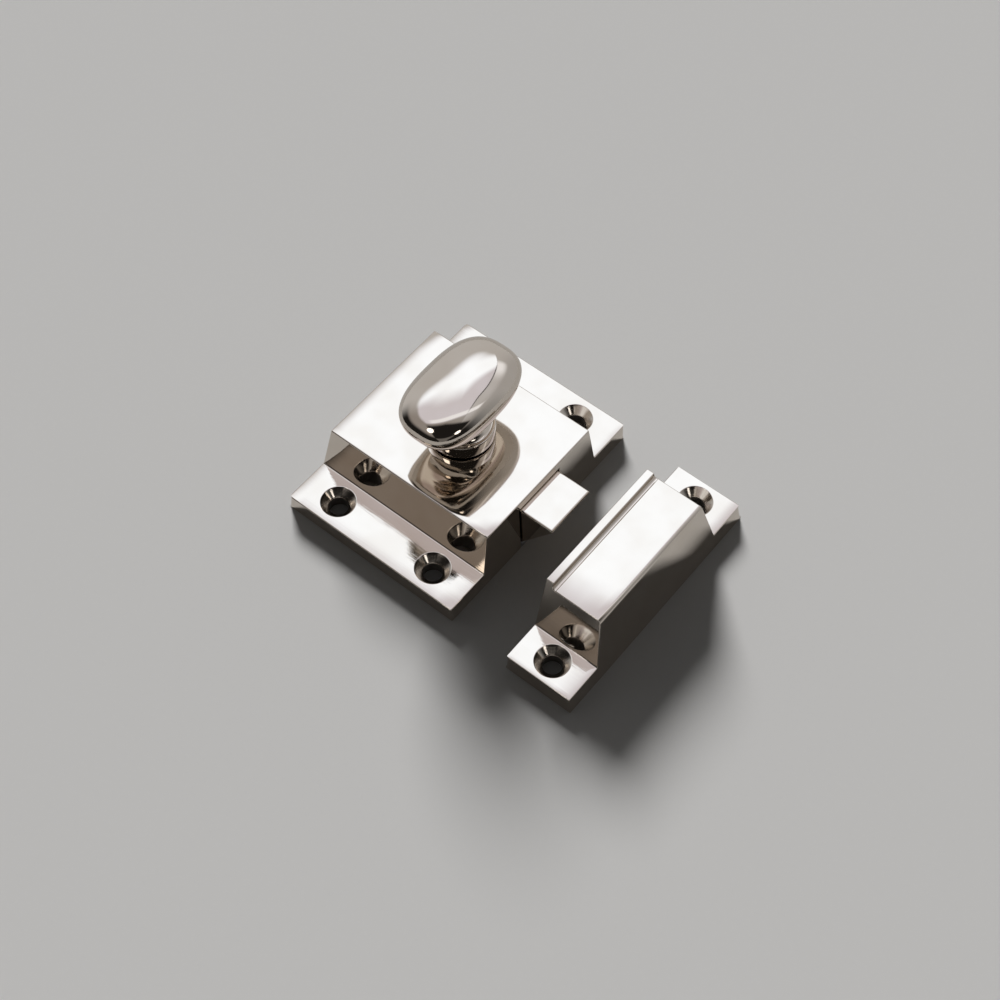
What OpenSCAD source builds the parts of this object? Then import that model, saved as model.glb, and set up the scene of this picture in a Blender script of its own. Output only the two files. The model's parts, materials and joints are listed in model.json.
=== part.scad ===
// Cabinet catch: a surface case with an oval knob and a spring bolt, and its strike.
// Millimetres. The origin is the middle of the case's back face, +X points along the
// bolt towards the strike, +Y runs along the case and +Z points away from the door.

/* [Case] */
// Width of the case at its back face, along the bolt
case_w = 39; // [34:0.5:46]
// Height of the housing above the back face
case_h = 13.7; // [12:0.1:17]
// Length of the housing's flat top
housing_top_l = 29.2; // [26:0.1:38]
// Lean of the housing's two end walls, degrees from upright
end_slope = 8.8; // [2:0.1:18]
// Length of each screw flange
flange_l = 9.4; // [8:0.1:14]
// Thickness of the screw flanges
flange_t = 3.75; // [2.8:0.05:5]
// Lean of the side that the bolt comes out of, degrees
bolt_side_draft = 3; // [0:0.1:6]
// Lean of the side away from the bolt, degrees
far_side_draft = 8.2; // [0:0.1:12]
// Thickness of the housing's top
top_wall = 1.85; // [1.4:0.05:2.6]
// Thickness of the two side walls, measured under the housing's top
side_wall = 2; // [1.5:0.1:3]
// Radius of the fillet where the end walls meet the flanges
foot_fillet_r = 0.3; // [0.1:0.05:1]
// Length of the oblong recess edge that the back plate rests on, along the bolt
ledge_x = 1; // [0.6:0.1:1.4]
// Length of that edge at the two ends of the housing
ledge_y = 4.4; // [3.8:0.1:5]

/* [Screw holes] */
// Diameter of the screw holes
hole_d = 3.6; // [3:0.1:4.8]
// Diameter of the countersinks
csk_d = 6.6; // [5.4:0.1:7.6]
// Distance of the case's holes from its sides
hole_edge = 8.3; // [6:0.1:11]

/* [Back plate] */
// Thickness of the back plate
plate_t = 1.2; // [0.8:0.05:1.6]
// Diameter of the back plate's screws
plate_screw_d = 2; // [1.6:0.1:2.4]
// Diameter of their countersunk heads
plate_head_d = 3.6; // [3:0.1:3.9]
// Length of the screws
plate_screw_l = 6.5; // [4:0.1:8]
// Width of the slot in a screw head
plate_slot_w = 0.5; // [0.4:0.05:0.8]
// Depth of the slot in a screw head
plate_slot_h = 0.35; // [0.2:0.05:0.5]

/* [Bolt] */
// Width of the bolt
bolt_w = 11; // [8:0.1:14]
// Reach of the bolt beyond the case's back edge
bolt_throw = 6.5; // [5:0.1:8]
// Height of the bolt's blunt tip
bolt_tip_h = 0.6; // [0.3:0.1:2]
// Travel of the bolt
bolt_travel = 6.6; // [4:0.1:7.5]
// Width of each shoulder that stops the bolt against the inside of the case
shoulder_w = 3.5; // [2:0.1:4]
// Room left behind the bolt when it is drawn in
tail_room = 2; // [1:0.1:3]
// Wall left beside the bolt's cross slot
slot_wall = 1.6; // [1:0.1:2.4]

/* [Knob] */
// Length of the oval head
knob_l = 24.7; // [20:0.1:32]
// Width of the oval head
knob_w = 15.6; // [13:0.1:20]
// Squareness of the oval, 2 is a true ellipse
knob_power = 2.7; // [2:0.1:3.5]
// Height of the head's widest line above the case
knob_rise = 12.5; // [10.5:0.1:16]
// Height of the dome above the widest line
dome_h = 4.3; // [2.5:0.1:7]
// Depth of the head's rounded underside below the widest line
under_h = 4.6; // [3:0.1:5]
// Share of the head's oval that its underside keeps before it rounds up
under_share = 0.62; // [0.5:0.01:0.75]
// Diameter of the neck under the head
neck_d = 9; // [8:0.1:11]
// Height of the hollow curve between the collar and the neck
neck_cove_h = 1.9; // [1:0.1:2.5]
// Diameter of the collar
collar_d = 12.4; // [10.5:0.1:15]
// Height of the collar
collar_h = 3; // [2:0.1:3.6]
// Rounding of the collar's two edges
collar_edge = 0.25; // [0.1:0.05:0.6]
// Gap between the collar and the case
collar_gap = 0.5; // [0.3:0.05:1]

/* [Spindle and crank] */
// Offset of the spindle from the middle of the case, towards the bolt
spindle_x = 1; // [-1:0.1:2]
// Diameter of the spindle
spindle_d = 6; // [5:0.1:7]
// Length of spindle held inside the knob
spindle_grip = 7; // [5:0.1:9]
// Side of the square on the spindle's lower end
square_w = 4; // [3:0.1:4.5]
// Turn of the knob that draws the bolt in, degrees
turn_angle = 70; // [60:1:80]
// Thickness of the crank
crank_t = 1.5; // [1:0.1:2]
// Width of metal round the crank's square hole
crank_hub_wall = 1.6; // [1:0.1:2.5]
// Width of metal round the crank's pin
crank_eye_wall = 1.3; // [0.8:0.1:2]
// Width of the crank's arm
crank_arm_w = 4.2; // [2.6:0.1:5]
// Diameter of the crank pin
pin_d = 2.6; // [2:0.1:3]
// Depth of the crank pin in the bolt's slot
pin_reach = 2.4; // [1.5:0.1:3]
// Thickness of the thrust washer
washer_t = 0.4; // [0.2:0.05:0.6]
// Width of the thrust washer's ring
washer_ring = 1.5; // [1:0.1:2.5]

/* [Spring] */
// Outer diameter of the coil
spring_d = 4; // [3:0.1:4.4]
// Diameter of the spring wire
wire_d = 0.5; // [0.3:0.05:0.7]
// Number of coils
spring_turns = 9; // [6:1:12]
// Depth of the spring's bore in the bolt
spring_bore_h = 13; // [8:0.1:15]
// Depth of the spring's seat in the wall of the case
spring_seat_h = 1; // [0.5:0.1:1.2]

/* [Strike] */
// Distance between the case and the strike as they stand
strike_gap = 12.9; // [8:0.1:20]
// Offset of the strike along the case
strike_y = -1; // [-3:0.1:3]
// Width of the strike at its back face
strike_w = 14.5; // [13:0.1:20]
// Length of the flat top
strike_top_l = 29.6; // [26:0.1:38]
// Lean of the two end walls, degrees from upright
strike_end_slope = 13.3; // [2:0.1:18]
// Length of each screw flange
strike_flange_l = 8.45; // [7.6:0.05:12]
// Thickness of the screw flanges
strike_flange_t = 3.55; // [2.8:0.05:5]
// Distance of the strike's holes from the foot of its end walls
strike_hole_out = 3.8; // [3.7:0.05:6]
// Thickness of the top over the bolt's socket
strike_top_wall = 2.2; // [1.5:0.1:3]
// Thickness of the outer side wall under the top
strike_side_wall = 1.9; // [1.4:0.1:2.6]
// Thickness of the end walls, measured at the top
strike_end_wall = 2.6; // [1.8:0.1:3.5]
// Lean of the side that faces the bolt, degrees
strike_near_draft = 0.2; // [0:0.1:3]
// Lean of the outer side, degrees
strike_far_draft = 10.3; // [2:0.1:14]
// Lean of the flange ends, degrees
strike_flange_draft = 5.2; // [0:0.1:8]
// Width of the raised lip
lip_w = 1.55; // [1.2:0.05:2.4]
// Height of the raised lip
lip_h = 1.4; // [1:0.05:2]
// Rounding of the lip's top edges
lip_r = 0.15; // [0.1:0.05:0.3]
// Radius of the hollow curve beside the lip
lip_cove_r = 0.6; // [0.3:0.05:0.7]
// Depth of that hollow below the flat top
lip_groove = 0.06; // [0.02:0.01:0.15]

/* [Fits] */
// Clearance round the sliding bolt
slide_clear = 0.25; // [0.15:0.01:0.35]
// Gap between the bolt's shoulders and the wall that stops them
stop_gap = 0.1; // [0.05:0.01:0.3]
// Clearance between the crank pin and the sides of its slot
pin_clear = 0.25; // [0.15:0.01:0.35]
// Radial clearance of the spindle in the case
bore_clear = 0.05; // [0.02:0.01:0.1]
// Up and down play of the spindle
end_play = 0.1; // [0.05:0.01:0.2]
// Gap between pieces that are fixed to each other
fixed_gap = 0.02; // [0.01:0.01:0.05]
// Gap round the edge of the back plate
plate_gap = 0.1; // [0.05:0.01:0.2]
// Clearance round the spring in its bore
spring_clear = 0.3; // [0.2:0.01:0.5]
// Gap at the two ends of the spring
spring_end_gap = 0.05; // [0.02:0.01:0.1]
// Room above the bolt in the strike's socket
socket_clear = 0.35; // [0.2:0.01:0.8]

/* [Hidden] */

nickel = "#cbc6bf";
brass = "#c9a860";
steel = "#8f959b";
$fn = 64;
// Overlap of cutting shapes past the faces that they cut
cut = 1;

// Heights, from the top of the case down
ceiling_z = case_h - top_wall;
bolt_top = ceiling_z - slide_clear;
crank_top = ceiling_z - end_play - washer_t;
crank_bottom = crank_top - crank_t;
tail_top = crank_bottom - slide_clear;
bolt_bottom = plate_t + slide_clear;
slot_floor = crank_bottom - pin_reach - slide_clear;
spring_z = (tail_top + bolt_bottom) / 2;

// Case along Y
housing_foot_l = housing_top_l + 2 * (case_h - flange_t) * tan(end_slope);
case_l = housing_foot_l + 2 * flange_l;
case_hole_y = (housing_foot_l + flange_l) / 2;
case_hole_x = case_w / 2 - hole_edge;

// Pocket along X, between the leaning sides
pocket_x0 = -case_w / 2 + ceiling_z * tan(far_side_draft) + side_wall;
pocket_x1 = case_w / 2 - ceiling_z * tan(bolt_side_draft) - side_wall;

// Crank: its pin goes equally far each side of the spindle over the turn
crank_r = bolt_travel / (2 * sin(turn_angle / 2));
pin_x = crank_r * sin(turn_angle / 2);
pin_y = crank_r * cos(turn_angle / 2);
hub_r = square_w / sqrt(2) + crank_hub_wall;
eye_r = pin_d / 2 + crank_eye_wall;

// Bolt
slot_w = pin_d + 2 * pin_clear;
slot_y0 = pin_y - pin_d / 2 - pin_clear;
slot_y1 = crank_r + pin_d / 2 + pin_clear;
tail_half = max(bolt_w / 2 + shoulder_w, slot_y1 + slot_wall);
tail_x0 = pocket_x0 + bolt_travel + tail_room;
shoulder_x = pocket_x1 - stop_gap;
step_x = spindle_x + max(hub_r + bolt_travel, pin_x + eye_r) + slide_clear;
tip_x = case_w / 2 + bolt_throw;
bevel_x = case_w / 2 - bolt_bottom * tan(bolt_side_draft);

pocket_half = tail_half + slide_clear;
plate_half = pocket_half + ledge_y;
plate_screw_y = pocket_half + ledge_y / 2;
tongue_half = bolt_w / 2 + slide_clear;

// Spring
spring_bore_d = spring_d + 2 * spring_clear;
spring_x0 = pocket_x0 - spring_seat_h + spring_end_gap;
spring_x1 = tail_x0 + spring_bore_h - spring_end_gap;
spring_steps = 16;
spring_sides = 8;

// Knob heights above the case's top
collar_top = collar_gap + collar_h;
neck_z = collar_top + neck_cove_h;
under_z = knob_rise - under_h;
knob_sides = 64;
curve_steps = 7;
dome_steps = 12;

// Strike
socket_z = bolt_top + socket_clear;
strike_h = socket_z + strike_top_wall;
lip_top = strike_h + lip_h;
strike_foot_l = strike_top_l + 2 * (strike_h - strike_flange_t) * tan(strike_end_slope);
strike_l = strike_foot_l + 2 * strike_flange_l;
strike_hole_y = strike_foot_l / 2 + strike_hole_out;
strike_hole_x = (strike_near_x(strike_flange_t) + strike_far_x(strike_flange_t)) / 2;
socket_half = strike_top_l / 2 - strike_end_wall;
socket_depth = strike_far_x(socket_z) - strike_side_wall;

function strike_near_x(z) = z * tan(strike_near_draft);
function strike_far_x(z) = strike_w - z * tan(strike_far_draft);

// Stands a side outline, drawn in Y and Z, along X
module along_x(length) {
    rotate([90, 0, 90])
        linear_extrude(height = length)
            children();
}

// Stands a cross-section, drawn in X and Z, along Y about the middle
module along_y(length) {
    rotate([90, 0, 0])
        linear_extrude(height = length, center = true)
            children();
}

// Block from its lowest corner to its highest
module block(low, high) {
    translate(low)
        cube(high - low);
}

// Countersunk hole down from the origin through a plate
module screw_hole(plate, d, head_d) {
    sink = (head_d - d) / 2;
    translate([0, 0, -plate - cut])
        cylinder(d = d, h = plate + 2 * cut);
    translate([0, 0, -sink])
        cylinder(d1 = d, d2 = head_d + 2 * cut, h = sink + cut);
}

// Fillet in the corner where an end wall with the given lean meets a flange
module foot_fillet(foot, plate, slope, r) {
    reach = r / tan(45 + slope / 2);
    difference() {
        polygon([
            [foot - r, plate - r],
            [foot + reach, plate - r],
            [foot + reach, plate + r],
            [foot - reach * sin(slope), plate + reach * cos(slope)],
            [foot - r, plate + reach * cos(slope)]
        ]);
        translate([foot + reach, plate + r])
            circle(r = r);
    }
}

// Side outline of a raised body with a flange at each end
module hat_outline(top, foot, total, height, plate, slope, r, end_draft) {
    shrink = plate * tan(end_draft);
    polygon([
        [-total / 2, 0],
        [total / 2, 0],
        [total / 2 - shrink, plate],
        [foot / 2, plate],
        [top / 2, height],
        [-top / 2, height],
        [-foot / 2, plate],
        [-total / 2 + shrink, plate]
    ]);
    for (side = [0, 1])
        mirror([side, 0])
            foot_fillet(foot / 2, plate, slope, r);
}

// Cross-section of the case with its two leaning sides
module case_section() {
    polygon([
        [-case_w / 2, 0],
        [case_w / 2, 0],
        [case_w / 2 - case_h * tan(bolt_side_draft), case_h],
        [-case_w / 2 + case_h * tan(far_side_draft), case_h]
    ]);
}

module case() {
    color(nickel)
        difference() {
            intersection() {
                translate([-case_w / 2 - cut, 0, 0])
                    along_x(case_w + 2 * cut)
                        hat_outline(housing_top_l, housing_foot_l, case_l, case_h, flange_t,
                                    end_slope, foot_fillet_r, 0);
                along_y(case_l + 2 * cut)
                    case_section();
            }
            block([pocket_x0, -pocket_half, -cut], [pocket_x1, pocket_half, ceiling_z]);
            block([pocket_x0 - ledge_x, -plate_half, -cut], [pocket_x1 + ledge_x, plate_half, plate_t]);
            block([pocket_x1 - cut, -tongue_half, -cut], [case_w / 2 + cut, tongue_half, ceiling_z]);
            translate([spindle_x, 0, ceiling_z - cut])
                cylinder(d = spindle_d + 2 * bore_clear, h = top_wall + 2 * cut);
            translate([pocket_x0 - spring_seat_h, 0, spring_z])
                rotate([0, 90, 0])
                    cylinder(d = spring_bore_d, h = spring_seat_h + cut);
            for (x = [-case_hole_x, case_hole_x], y = [-case_hole_y, case_hole_y])
                translate([x, y, flange_t])
                    screw_hole(flange_t, hole_d, csk_d);
            for (side = [-1, 1])
                translate([0, side * plate_screw_y, 0])
                    cylinder(d = plate_screw_d + 2 * fixed_gap, h = plate_screw_l + cut);
        }
}

module back_plate() {
    color(steel)
        difference() {
            union() {
                block([pocket_x0 - ledge_x + plate_gap, -plate_half + plate_gap, 0],
                      [pocket_x1 + ledge_x - plate_gap, plate_half - plate_gap, plate_t]);
                block([0, -tongue_half + plate_gap, 0],
                      [case_w / 2 - plate_t * tan(bolt_side_draft), tongue_half - plate_gap, plate_t]);
            }
            for (side = [-1, 1])
                translate([0, side * plate_screw_y, 0])
                    mirror([0, 0, 1])
                        screw_hole(plate_t, plate_screw_d + 2 * fixed_gap, plate_head_d + 2 * fixed_gap);
        }
}

module back_plate_screws() {
    sink = (plate_head_d - plate_screw_d) / 2;
    color(steel)
        for (side = [-1, 1])
            translate([0, side * plate_screw_y, 0])
                difference() {
                    union() {
                        cylinder(d1 = plate_head_d, d2 = plate_screw_d, h = sink);
                        cylinder(d = plate_screw_d, h = plate_screw_l);
                    }
                    block([-plate_head_d, -plate_slot_w / 2, -cut],
                          [plate_head_d, plate_slot_w / 2, plate_slot_h]);
                }
}

// One oval ring of the knob: [height, half width, half length, squareness]
function knob_ring(spec) = [
    for (i = [0:knob_sides - 1])
        let (
            a = 360 * i / knob_sides,
            swell = pow(pow(abs(cos(a)), spec[3]) + pow(abs(sin(a)), spec[3]), -1 / spec[3])
        )
        [spec[1] * cos(a) * swell, spec[2] * sin(a) * swell, spec[0]]
];

// Half width and half length of the knob between its round neck and its oval head
function knob_spread(share) = [
    neck_d / 2 + (under_share * knob_w / 2 - neck_d / 2) * share,
    neck_d / 2 + (under_share * knob_l / 2 - neck_d / 2) * share
];

// Rings of the knob from the collar's underside to just below the crown
function knob_rings() = concat(
    [for (e = [[collar_gap, collar_edge], [collar_gap + collar_edge, 0],
               [collar_top - collar_edge, 0], [collar_top, collar_edge]])
        [e[0], collar_d / 2 - e[1], collar_d / 2 - e[1], 2]],
    [for (i = [1:curve_steps])
        let (
            a = 90 * i / curve_steps,
            rim = collar_d / 2 - collar_edge,
            r = rim - (rim - neck_d / 2) * sin(a)
        )
        [collar_top + neck_cove_h * (1 - cos(a)), r, r, 2]],
    [for (i = [1:curve_steps])
        let (
            a = 90 * i / curve_steps,
            spread = knob_spread(1 - cos(a))
        )
        [neck_z + (under_z - neck_z) * sin(a), spread[0], spread[1],
         2 + (knob_power - 2) * (1 - cos(a))]],
    [for (i = [1:curve_steps])
        let (
            a = 90 * i / curve_steps,
            share = under_share + (1 - under_share) * sin(a)
        )
        [knob_rise - under_h * cos(a), share * knob_w / 2, share * knob_l / 2, knob_power]],
    [for (i = [1:dome_steps - 1])
        let (a = 90 * i / dome_steps)
        [knob_rise + dome_h * sin(a), cos(a) * knob_w / 2, cos(a) * knob_l / 2, knob_power]]
);

// Closed skin over a stack of rings, with a flat foot and a crown point
module ring_loft(rings, crown) {
    n = len(rings[0]);
    last = len(rings) - 1;
    sides = [
        for (k = [0:last - 1], i = [0:n - 1])
            [k * n + i, (k + 1) * n + i, (k + 1) * n + (i + 1) % n, k * n + (i + 1) % n]
    ];
    cap = [for (i = [0:n - 1]) [last * n + i, (last + 1) * n, last * n + (i + 1) % n]];
    foot = [[for (i = [0:n - 1]) i]];
    polyhedron(
        points = concat([for (ring = rings) each ring], [crown]),
        faces = concat(foot, sides, cap),
        convexity = 4
    );
}

module knob() {
    color(nickel)
        translate([spindle_x, 0, case_h])
            difference() {
                ring_loft([for (spec = knob_rings()) knob_ring(spec)], [0, 0, knob_rise + dome_h]);
                translate([0, 0, collar_gap - cut])
                    cylinder(d = spindle_d + 2 * fixed_gap, h = spindle_grip + fixed_gap + cut);
            }
}

module spindle() {
    color(steel)
        translate([spindle_x, 0, 0]) {
            translate([0, 0, crank_top])
                cylinder(d = spindle_d, h = case_h + collar_gap + spindle_grip - crank_top);
            rotate([0, 0, 90 - turn_angle / 2])
                block([-square_w / 2, -square_w / 2, crank_bottom],
                      [square_w / 2, square_w / 2, crank_top + fixed_gap]);
        }
}

module thrust_washer() {
    bore = spindle_d / 2 + bore_clear;
    color(brass)
        translate([spindle_x, 0, crank_top])
            difference() {
                cylinder(r = bore + washer_ring, h = washer_t);
                translate([0, 0, -cut])
                    cylinder(r = bore, h = washer_t + 2 * cut);
            }
}

// Flat outline of the crank, pointing along X from its square hole to its pin
module crank_outline() {
    difference() {
        union() {
            circle(r = hub_r);
            translate([crank_r, 0])
                circle(r = eye_r);
            translate([0, -crank_arm_w / 2])
                square([crank_r, crank_arm_w]);
        }
        square(square_w + 2 * fixed_gap, center = true);
        translate([crank_r, 0])
            circle(d = pin_d + 2 * fixed_gap);
    }
}

module crank() {
    color(steel)
        translate([spindle_x, 0, crank_bottom])
            rotate([0, 0, 90 - turn_angle / 2])
                linear_extrude(height = crank_t)
                    crank_outline();
}

module crank_pin() {
    color(steel)
        translate([spindle_x + pin_x, pin_y, crank_bottom - pin_reach])
            cylinder(d = pin_d, h = pin_reach + crank_t);
}

// Cross-section of the bolt's head with its bevelled underside
module bolt_section() {
    polygon([
        [step_x, bolt_bottom],
        [bevel_x, bolt_bottom],
        [tip_x, bolt_top - bolt_tip_h],
        [tip_x, bolt_top],
        [step_x, bolt_top]
    ]);
}

module bolt() {
    color(nickel)
        difference() {
            union() {
                along_y(bolt_w)
                    bolt_section();
                block([tail_x0, -tail_half, bolt_bottom], [shoulder_x, tail_half, tail_top]);
            }
            block([spindle_x + pin_x - slot_w / 2, slot_y0, slot_floor],
                  [spindle_x + pin_x + slot_w / 2, slot_y1, tail_top + cut]);
            translate([tail_x0 - cut, 0, spring_z])
                rotate([0, 90, 0])
                    cylinder(d = spring_bore_d, h = spring_bore_h + cut);
        }
}

// Place of the spring wire's middle after a number of turns: the end coils lie closed
function spring_advance(turn) =
    let (
        open = spring_x1 - spring_x0 - 3 * wire_d,
        middle = min(max(turn - 1, 0), spring_turns - 2)
    )
    wire_d / 2 + wire_d * (min(turn, 1) + max(turn - spring_turns + 1, 0))
        + open * middle / (spring_turns - 2);

function spring_rings() = [
    for (i = [0:spring_turns * spring_steps])
        let (
            turn = i / spring_steps,
            a = 360 * turn,
            x = spring_x0 + spring_advance(turn),
            coil_r = (spring_d - wire_d) / 2
        )
        [for (k = [0:spring_sides - 1])
            let (
                b = 360 * k / spring_sides,
                r = coil_r + wire_d / 2 * cos(b)
            )
            [x + wire_d / 2 * sin(b), r * cos(a), spring_z + r * sin(a)]]
];

// Closed tube through a row of rings
module tube_skin(rings) {
    n = len(rings[0]);
    last = len(rings) - 1;
    sides = [
        for (k = [0:last - 1], i = [0:n - 1])
            [k * n + i, k * n + (i + 1) % n, (k + 1) * n + (i + 1) % n, (k + 1) * n + i]
    ];
    start = [[for (i = [n - 1:-1:0]) i]];
    end = [[for (i = [0:n - 1]) last * n + i]];
    polyhedron(
        points = [for (ring = rings) each ring],
        faces = concat(start, sides, end),
        convexity = 10
    );
}

module bolt_spring() {
    color(steel)
        tube_skin(spring_rings());
}

// Cross-section of the strike with its raised lip on the side of the bolt
module strike_section() {
    lip_x0 = strike_near_x(lip_top);
    lip_x1 = lip_x0 + lip_w;
    cove_z = strike_h - lip_groove;
    difference() {
        union() {
            polygon([
                [0, 0],
                [strike_w, 0],
                [strike_far_x(strike_h), strike_h],
                [lip_x1, strike_h],
                [lip_x1, lip_top - lip_r],
                [lip_x0, lip_top - lip_r]
            ]);
            translate([lip_x0 + lip_r, cove_z])
                square([lip_w - 2 * lip_r, lip_top - cove_z]);
            for (x = [lip_x0 + lip_r, lip_x1 - lip_r])
                translate([x, lip_top - lip_r])
                    circle(r = lip_r);
            translate([lip_x1 - lip_r, cove_z])
                square([lip_r + lip_cove_r, lip_cove_r]);
        }
        translate([lip_x1 + lip_cove_r, cove_z + lip_cove_r])
            circle(r = lip_cove_r);
    }
}

module strike() {
    lip_end_l = strike_top_l - 2 * lip_h * tan(strike_end_slope);
    color(nickel)
        translate([case_w / 2 + strike_gap, strike_y, 0])
            difference() {
                intersection() {
                    translate([-cut, 0, 0])
                        along_x(strike_w + 2 * cut)
                            hat_outline(lip_end_l, strike_foot_l, strike_l, lip_top, strike_flange_t,
                                        strike_end_slope, foot_fillet_r, strike_flange_draft);
                    along_y(strike_l + 2 * cut)
                        strike_section();
                }
                block([-cut, -socket_half, -cut], [socket_depth, socket_half, socket_z]);
                for (side = [-1, 1])
                    translate([strike_hole_x, side * strike_hole_y, strike_flange_t])
                        screw_hole(strike_flange_t, hole_d, csk_d);
            }
}

case();
back_plate();
back_plate_screws();
knob();
spindle();
thrust_washer();
crank();
crank_pin();
bolt();
bolt_spring();
strike();
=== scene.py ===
"""Cabinet catch in polished nickel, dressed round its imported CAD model.

Each piece is a softened or finer copy of a CAD node, so it stays where the frame puts it.
Lengths are in metres, in the frame's own axes.
"""

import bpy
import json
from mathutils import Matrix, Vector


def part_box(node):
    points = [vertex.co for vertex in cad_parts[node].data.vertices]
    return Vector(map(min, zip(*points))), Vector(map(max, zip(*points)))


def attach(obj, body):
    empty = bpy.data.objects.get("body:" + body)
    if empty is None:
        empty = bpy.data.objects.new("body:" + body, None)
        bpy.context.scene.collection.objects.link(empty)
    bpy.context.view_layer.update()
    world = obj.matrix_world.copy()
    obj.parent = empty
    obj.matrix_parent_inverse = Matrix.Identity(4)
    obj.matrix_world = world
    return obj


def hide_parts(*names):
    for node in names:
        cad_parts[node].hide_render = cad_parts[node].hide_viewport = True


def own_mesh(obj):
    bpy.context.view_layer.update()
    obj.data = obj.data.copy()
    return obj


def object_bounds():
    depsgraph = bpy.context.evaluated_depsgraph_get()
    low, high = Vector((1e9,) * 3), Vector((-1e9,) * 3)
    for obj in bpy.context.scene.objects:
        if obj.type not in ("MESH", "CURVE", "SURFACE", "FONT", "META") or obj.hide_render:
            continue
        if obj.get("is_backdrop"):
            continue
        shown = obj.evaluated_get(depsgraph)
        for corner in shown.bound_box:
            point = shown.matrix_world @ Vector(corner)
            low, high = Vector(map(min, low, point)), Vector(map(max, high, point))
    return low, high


bl_info = {
    "name": "Cabinet Catch",
    "version": (1, 0, 0),
    "blender": (4, 5, 0),
    "location": "3D View > Sidebar > Catch",
    "description": "Builds a polished nickel cabinet catch with its strike, and a plain studio",
    "category": "Object",
}

import json
import math

import bmesh
import bpy
from bpy.props import FloatProperty, FloatVectorProperty, IntProperty, PointerProperty
from mathutils import Vector

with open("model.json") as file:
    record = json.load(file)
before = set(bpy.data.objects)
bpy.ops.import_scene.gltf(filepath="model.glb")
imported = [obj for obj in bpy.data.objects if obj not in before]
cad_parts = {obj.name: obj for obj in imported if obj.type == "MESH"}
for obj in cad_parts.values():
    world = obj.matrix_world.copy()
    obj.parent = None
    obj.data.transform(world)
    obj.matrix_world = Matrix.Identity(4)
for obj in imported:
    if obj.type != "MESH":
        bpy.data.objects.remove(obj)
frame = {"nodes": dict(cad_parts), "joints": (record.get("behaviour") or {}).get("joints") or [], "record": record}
CAD_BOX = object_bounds()

MM = 0.001
X, Y, Z = range(3)
MOUNTS = {mount["name"]: mount for mount in frame["record"]["mounts"]}
KNOB_JOINT = next(joint for joint in frame["joints"] if joint["name"] == "knob_turn")
BOLT_JOINT = next(joint for joint in frame["joints"] if joint["name"] == "bolt_slide")
KNOB_AXIS = Vector(KNOB_JOINT["pos_m"])
BOLT_TRAVEL = BOLT_JOINT["range_m"][1]

# Vertices of the frame closer than this are one
WELD = 1e-6
# Neighbouring faces that turn less than this are one flat face, in radians
FLAT = 0.004
# Edges of a CAD copy that turn more than the first are rounded, and a loft's past the second stay sharp
CREASE = math.radians(30)
SHARP = math.radians(50)
# An edge runs along an axis where at least this share of it does
MOSTLY = 0.8
# Facets across the rounded edges of the hidden pieces and of the knob's collar
HIDDEN_STEPS = 2
COLLAR_STEPS = 6
# Squareness of a true circle or ellipse
ROUND = 2.0

# Borders that hand buffing rolled off, each a width in millimetres and a slope at the edge: low X, high X,
# front and rear of the flanges and then of the top, and last the slopes of two corners of the top
CASE_ROLLS = (
    ((2.7, 0.15), (3.6, 0.15), (3.4, 0.15), (1.5, 0.10)),
    ((2.7, 0.15), (1.4, 0.08), (1.3, 0.12), (1.0, 0.05)),
    (0.05, 0.16),
)
STRIKE_ROLLS = (
    ((0.8, 0.06), (3.8, 0.15), (1.0, 0.12), (0.6, 0.05)),
    ((1.0, 0.00), (1.8, 0.12), (8.0, 0.16), (1.0, 0.04)),
    (0.00, 0.05),
)
# Runs of a face's direction over which it comes to count as level, as an end wall and as the back
LEVEL = (0.6, 0.95)
END_WALL = (0.7, 0.9)
BACK = (0.8, 0.95)
# Distances from a flange's face or a hole's edge over which one finish gives way to the next
WALL_FOOT = (0.0, 0.1 * MM)
TOP_BORDERS = (1.0 * MM, 2.0 * MM)
FLANGE_LINES = (0.2 * MM, 1.2 * MM)
UNDER_FLANGE = (-0.05 * MM, -0.01 * MM)
CONE_EDGE = (0.0, 0.1 * MM)
BORE_EDGE = (0.03 * MM, 0.1 * MM)
# Plating: the run of its clouds, the size of its grain, and what each adds to the roughness
CLOUDS = (0.3, 0.75)
CLOUD_ROUGH = 0.012
GRAIN = 0.35 * MM
GRAIN_ROUGH = 0.015
# Countersinks: the run of their streaks, which are painted light and dark sectors round each hole standing in for
# the sheen of the turning, and the pitch and depth of their turning rings
SHEEN_SECTORS = (0.35, 0.7)
RING_PITCH = 0.18 * MM
RING_DEPTH = 0.002 * MM
# Floor: flecks in a metre, how much they show, and the roughness
FLECKS = 900.0
FLECK_SHARE = 0.06
FLOOR_ROUGH = 0.9

# The room in the metal. Places on its ceiling are multiples of its height, across the view and away from the
# camera. A pair is the run over which a part begins, and a third number is how softly both its ends do.
HORIZON = 0.2
BOX_EDGE = 0.63
RIGHT_WALL = (0.2, 0.75)
NEAR_WALL = (-0.35, 0.3)
NEAR_WALL_SLANT = 0.35
NEAR_WALL_FOOT = (0.42, 0.66)
DARK_ACROSS = (-0.62, 1.2, 0.15)
DARK_AWAY = (-0.3, -0.18)
DARK_SLANT = 0.25
DARK_FOOT = (0.40, 0.50)
SIDE_ACROSS = (BOX_EDGE, 0.8, 0.55)
SIDE_AWAY = (-0.1, 1.05, 0.45)
SIDE_EDGE = (BOX_EDGE, BOX_EDGE + 0.01)
SIDE_FADE = (0.25, 0.85)
BOX_INNER_EDGE = (BOX_EDGE - 0.01, BOX_EDGE)
BOX_FAR_END = (0.88, 1.55)
BOX_ACROSS = (-0.75, -0.62)
BOX_AWAY = (-0.2, -0.12)
HOT_ACROSS = (-0.85, -0.6)
HOT_AWAY = (0.2, 0.55)
HOT_BEND = 0.2
HOT_SLANT = 1.2
RIM_ACROSS = (-0.4, 1.0, 0.2)
RIM_AWAY = (-0.12, -0.06, 0.04)
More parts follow.
